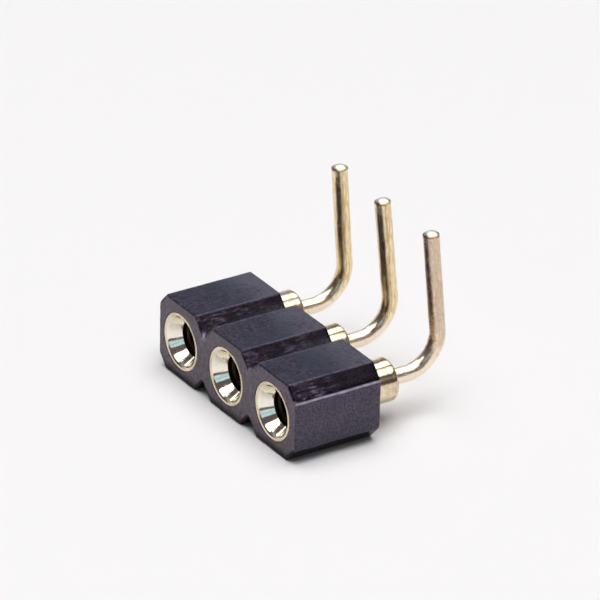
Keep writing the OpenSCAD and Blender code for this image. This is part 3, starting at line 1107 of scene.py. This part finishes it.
def heading(azimuth, elevation):
    """Unit vectors towards an azimuth, where 0 is -Y and 90 is +X, and an elevation."""
    a, e = np.broadcast_arrays(np.radians(azimuth), np.radians(elevation))
    return np.stack([np.sin(a) * np.cos(e), -np.cos(a) * np.cos(e), np.sin(e)], axis=-1)


def only_reflected(name, points, faces, material):
    """A stage object that only reflections see. It casts no shadow and blocks no light."""
    thing = stage_object(name, points, faces, material)
    thing.visible_camera = thing.visible_diffuse = thing.visible_shadow = False
    thing.visible_transmission = thing.visible_volume_scatter = False


grey, n = new_material("dark_room")
x, y, up = n.axes(n.place())
right = n.plus(n.times(x, 0.72), n.times(y, 0.42))
behind = n.minus(n.times(y, 0.55), n.times(x, 0.83))
hump = n.times(n.ramp(up, 0.34, 0.52), n.ramp(up, 0.6, 0.72, 1.0, 0.0))
wall = n.blend(n.ramp(up, 0.1, 0.42), (0.8, 0.8, 0.8), (0.38, 0.39, 0.42))
shade = n.blend(n.times(n.ramp(right, 0.4, 0.8), hump), (0.112, 0.094, 0.088),
                (0.33, 0.28, 0.27))
shade = n.blend(n.ramp(behind, 0.35, 0.85), shade, wall)
n.show(n.add("Emission", Color=shade, Strength=1.0))
spokes = np.arange(DOME_SPOKES) * 360 / DOME_SPOKES
rings = np.linspace(DOME_LOW, DOME_HIGH, DOME_RINGS)[:, None]
only_reflected("dark_dome", DOME_R * heading(spokes, rings), grid_faces(DOME_RINGS, DOME_SPOKES),
               grey)
print("dome stands", DOME_R, "m away")

# %% [markdown]
# ## A window and two cards
#
# The funnels face the camera and show what stands behind it: a window of four panes, bluish with
# daylight, with bars between them. A white card stands low to the left of it, and a small cream
# one between the two, for the lesser glints. Area lamps would light the floor as well.

# %% Window and cards
def glow_material(name, colour, strength):
    """A plain glowing material, for things that are only seen in reflections."""
    material, n = new_material(name)
    n.show(n.add("Emission", Color=colour, Strength=strength))
    return material


def card(name, toward, distance, size, glow, panes=1, gap=0.0):
    """A card that faces the part from a heading, split both ways into panes with bars between.

    gap is half the width of a bar, as a share of a pane.
    """
    back, across = heading(*toward), heading(toward[0] + 90, 0)
    up = np.cross(back, across)
    edge = np.array([(0, 0), (1, 0), (1, 1), (0, 1)]) * (1 - 2 * gap) + gap
    i, j = np.divmod(np.arange(panes * panes)[:, None], panes)
    u, v = (i + edge[:, 0]) / panes - 0.5, (j + edge[:, 1]) / panes - 0.5
    points = back * distance + u[..., None] * size[0] * across + v[..., None] * size[1] * up
    only_reflected(name, points, np.arange(4 * panes * panes), glow)


card("window", (58, 28), 0.6, (0.15, 0.3),
     glow_material("cool_daylight", (0.6, 0.86, 1.0), 1.0), panes=2, gap=0.05)
card("low_card", (28, 9), 0.7, (0.26, 0.12), glow_material("white_card", (1.0, 1.0, 1.0), 0.9))
card("side_card", (46, 19), 0.66, (0.09, 0.2),
     glow_material("cream_card", (0.62, 0.6, 0.5), 1.0))
print("window and cards are in place")

# %% [markdown]
# ## The faces of the lamp
#
# Overhead, two level cards show the metal a lamp whose sides follow the camera's heading. The
# dark bar between them draws a thin line through the highlights. Both reach further to the right
# than to the left.

# %% Lamp faces
FACE_H, FACE_COLOUR, FACE_STRENGTH = 0.29, (0.97, 1.0, 1.0), 2.4

for name, toward, right in (("lamp_face", (-0.265, 0.41), (-0.62, 1.0)),
                            ("lamp_face_far", (-1.25, -0.355), (-0.58, 1.0))):
    # Both pairs are where a card starts and ends, per metre of height.
    along = np.array(toward)[[0, 1, 1, 0], None] * heading(CAMERA_AZIMUTH, 0)
    across = np.array(right)[[0, 0, 1, 1], None] * heading(CAMERA_AZIMUTH + 90, 0)
    only_reflected(name, FACE_H * (along + across + [0, 0, 1]), [0, 1, 2, 3],
                   glow_material(name, FACE_COLOUR, FACE_STRENGTH))
print("lamp faces hang", FACE_H, "m up")

# %% [markdown]
# ## The camera
#
# A long lens from well above and to the right of the mating face keeps the parallel edges of
# the strip nearly parallel. An orthographic camera would make them wholly parallel, which
# looks like a drawing. The camera is tipped a little, as a hand-held one is.

# %% Camera
CAMERA_DISTANCE, CAMERA_TIP = 0.19007, 1.475
aim = np.array([-0.2385, 1.2313, 2.9829]) * MM

data = bpy.data.cameras.new("camera")
data.lens, data.sensor_width = 383.2, 36.0
data.clip_start, data.clip_end = 0.01, 20.0
camera = bpy.data.objects.new("camera", data)
bpy.context.scene.collection.objects.link(camera)
back = heading(CAMERA_AZIMUTH, CAMERA_ELEVATION)
camera.location = aim + back * CAMERA_DISTANCE
turn = (-Vector(back)).to_track_quat("-Z", "Y")
camera.rotation_mode = "QUATERNION"
camera.rotation_quaternion = turn @ Quaternion((0, 0, 1), math.radians(CAMERA_TIP))
bpy.context.scene.camera = camera
bpy.context.scene.view_settings.view_transform = "Standard"
print("camera at", [round(v, 4) for v in camera.location])
